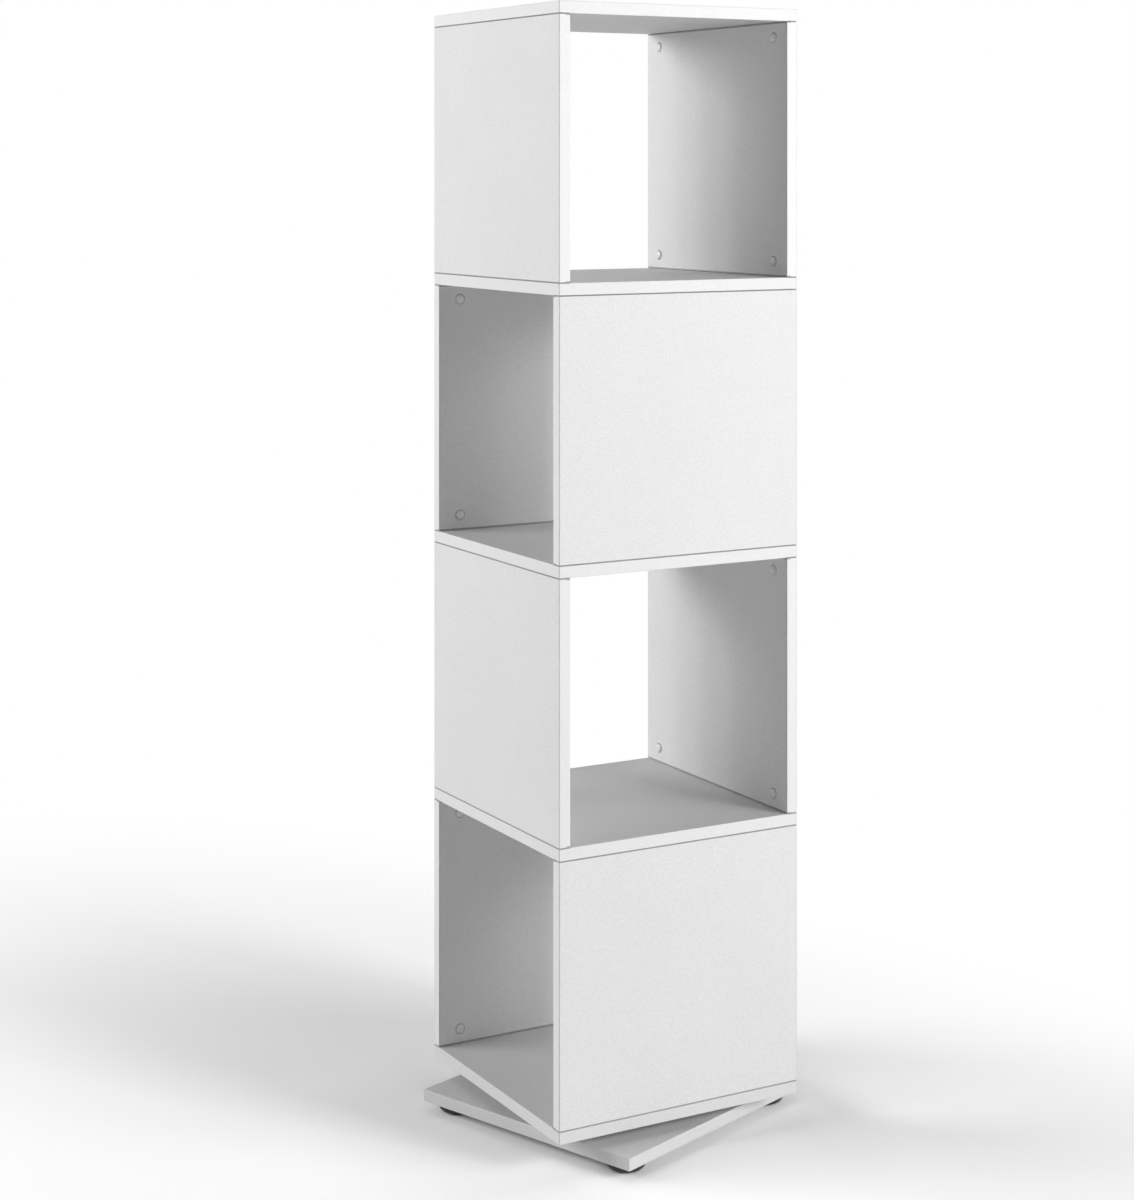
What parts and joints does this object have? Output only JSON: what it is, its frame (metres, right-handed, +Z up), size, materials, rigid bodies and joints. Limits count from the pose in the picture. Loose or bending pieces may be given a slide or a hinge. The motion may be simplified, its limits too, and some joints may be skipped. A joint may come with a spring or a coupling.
{
  "type": "revolving bookcase",
  "caption": "Tall square bookcase column of open compartments, each level turned a quarter from the next, turning on a ball-bearing swivel over a square base plate with low round feet.",
  "frame": {"origin": "on the floor, on the axis that the column turns about", "axes": "+Z up the column; +X and +Y square to the column's faces, with the top level open along Y and closed by panels at -X and +X; the base plate is turned 20 degrees about +Z under it"},
  "size_m": [0.4608, 0.4608, 1.4813],
  "materials": {
    "white_board": "16 mm chipboard faced and edged in white melamine with a fine pearl grain, satin",
    "white_cap": "white moulded cover cap, satin; the cam and bolt behind it are zinc die-cast and steel",
    "zinc_steel": "pressed and turned steel, bright zinc plate",
    "black_foot": "black moulded plastic, satin"
  },
  "bodies": {
    "base": {"base_plate": "white_board", "swivel_lower_plate": "zinc_steel", "foot_1": "black_foot", "foot_2": "black_foot", "foot_3": "black_foot", "foot_4": "black_foot", "foot_screw_1": "zinc_steel", "foot_screw_2": "zinc_steel", "foot_screw_3": "zinc_steel", "foot_screw_4": "zinc_steel"},
    "ball_cage": {"swivel_ball_cage": "zinc_steel"},
    "column": {"top_board": "white_board", "shelf_1": "white_board", "shelf_2": "white_board", "shelf_3": "white_board", "bottom_board": "white_board", "panel_1_left": "white_board", "panel_1_right": "white_board", "panel_2_front": "white_board", "panel_2_back": "white_board", "panel_3_left": "white_board", "panel_3_right": "white_board", "panel_4_front": "white_board", "panel_4_back": "white_board", "cam_1_left_1": "white_cap", "cam_1_left_2": "white_cap", "cam_1_left_3": "white_cap", "cam_1_left_4": "white_cap", "cam_1_right_1": "white_cap", "cam_1_right_2": "white_cap", "cam_1_right_3": "white_cap", "cam_1_right_4": "white_cap", "cam_2_front_1": "white_cap", "cam_2_front_2": "white_cap", "cam_2_front_3": "white_cap", "cam_2_front_4": "white_cap", "cam_2_back_1": "white_cap", "cam_2_back_2": "white_cap", "cam_2_back_3": "white_cap", "cam_2_back_4": "white_cap", "cam_3_left_1": "white_cap", "cam_3_left_2": "white_cap", "cam_3_left_3": "white_cap", "cam_3_left_4": "white_cap", "cam_3_right_1": "white_cap", "cam_3_right_2": "white_cap", "cam_3_right_3": "white_cap", "cam_3_right_4": "white_cap", "cam_4_front_1": "white_cap", "cam_4_front_2": "white_cap", "cam_4_front_3": "white_cap", "cam_4_front_4": "white_cap", "cam_4_back_1": "white_cap", "cam_4_back_2": "white_cap", "cam_4_back_3": "white_cap", "cam_4_back_4": "white_cap", "swivel_upper_plate": "zinc_steel"}
  },
  "joints": [
    {"name": "column_turn", "type": "hinge", "parent": "base", "child": "column", "pos_m": [0, 0, 0.0361], "axis": [0, 0, 1], "continuous": true},
    {"name": "cage_turn", "type": "hinge", "parent": "base", "child": "ball_cage", "pos_m": [0, 0, 0.0361], "axis": [0, 0, 1], "continuous": true}
  ],
  "couplings": [
    {"joint": "cage_turn", "follows": "column_turn", "ratio": 0.5}
  ]
}
